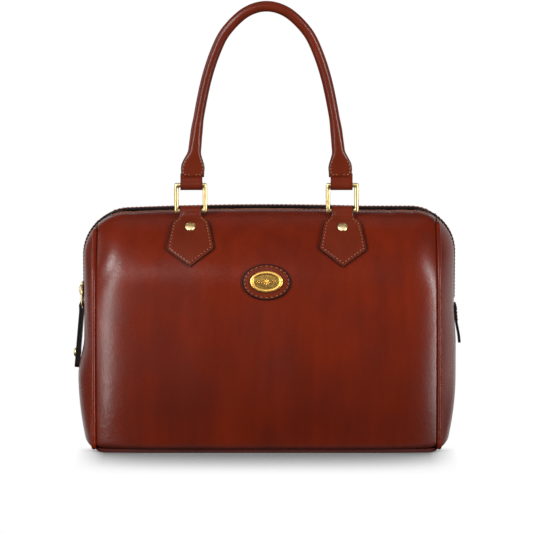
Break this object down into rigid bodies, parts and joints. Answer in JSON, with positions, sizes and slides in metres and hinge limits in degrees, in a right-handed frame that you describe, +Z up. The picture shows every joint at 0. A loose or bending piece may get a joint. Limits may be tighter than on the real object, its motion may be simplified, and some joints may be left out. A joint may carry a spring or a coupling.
{
  "type": "bowling bag",
  "caption": "Brown leather bowling bag with an arched body, a zip over its top, piped end panels, rolled handles on metal rings, riveted chapes and an oval badge.",
  "frame": {"origin": "middle of the base's underside, on the surface the bag stands on", "axes": "+X along the bag to its right as seen from the front, +Y from the front to the back, +Z up"},
  "size_m": [0.3432, 0.2128, 0.3852],
  "materials": {
    "leather": "smooth semi-gloss",
    "trim_leather": "smooth semi-gloss",
    "dark_leather": "satin",
    "zip_tape": "woven",
    "zip_coil": "satin",
    "gold": "polished"
  },
  "bodies": {
    "bag": {"front_panel": "leather", "back_panel": "leather", "base_panel": "leather", "left_gusset": "leather", "right_gusset": "leather", "left_piping": "leather", "right_piping": "leather", "zip_tape": "zip_tape", "zip_teeth": "zip_coil", "zip_slider": "gold", "zip_end_tab": "dark_leather", "zip_puller": "dark_leather", "zip_puller_rivet": "gold", "badge_patch": "trim_leather", "badge_plate": "gold", "front_left_chape": "trim_leather", "front_right_chape": "trim_leather", "back_left_chape": "trim_leather", "back_right_chape": "trim_leather", "front_left_rivet": "gold", "front_right_rivet": "gold", "back_left_rivet": "gold", "back_right_rivet": "gold"},
    "front_rings": {"front_left_ring": "gold", "front_right_ring": "gold"},
    "front_handle": {"front_handle": "trim_leather", "front_left_handle_loop": "trim_leather", "front_right_handle_loop": "trim_leather"},
    "back_rings": {"back_left_ring": "gold", "back_right_ring": "gold"},
    "back_handle": {"back_handle": "trim_leather", "back_left_handle_loop": "trim_leather", "back_right_handle_loop": "trim_leather"}
  },
  "joints": [
    {"name": "front_ring_swing", "type": "hinge", "parent": "bag", "child": "front_rings", "pos_m": [0, -0.03095, 0.20328], "axis": [1, 0, 0], "range_deg": [-5, 105]},
    {"name": "front_handle_swing", "type": "hinge", "parent": "front_rings", "child": "front_handle", "pos_m": [0, -0.03095, 0.22568], "axis": [1, 0, 0], "range_deg": [-3, 42]},
    {"name": "back_ring_swing", "type": "hinge", "parent": "bag", "child": "back_rings", "pos_m": [0, 0.04736, 0.19307], "axis": [-1, 0, 0], "range_deg": [-132, 0]},
    {"name": "back_handle_swing", "type": "hinge", "parent": "back_rings", "child": "back_handle", "pos_m": [0, 0.06593, 0.18054], "axis": [-1, 0, 0], "range_deg": [-38, 0]}
  ]
}
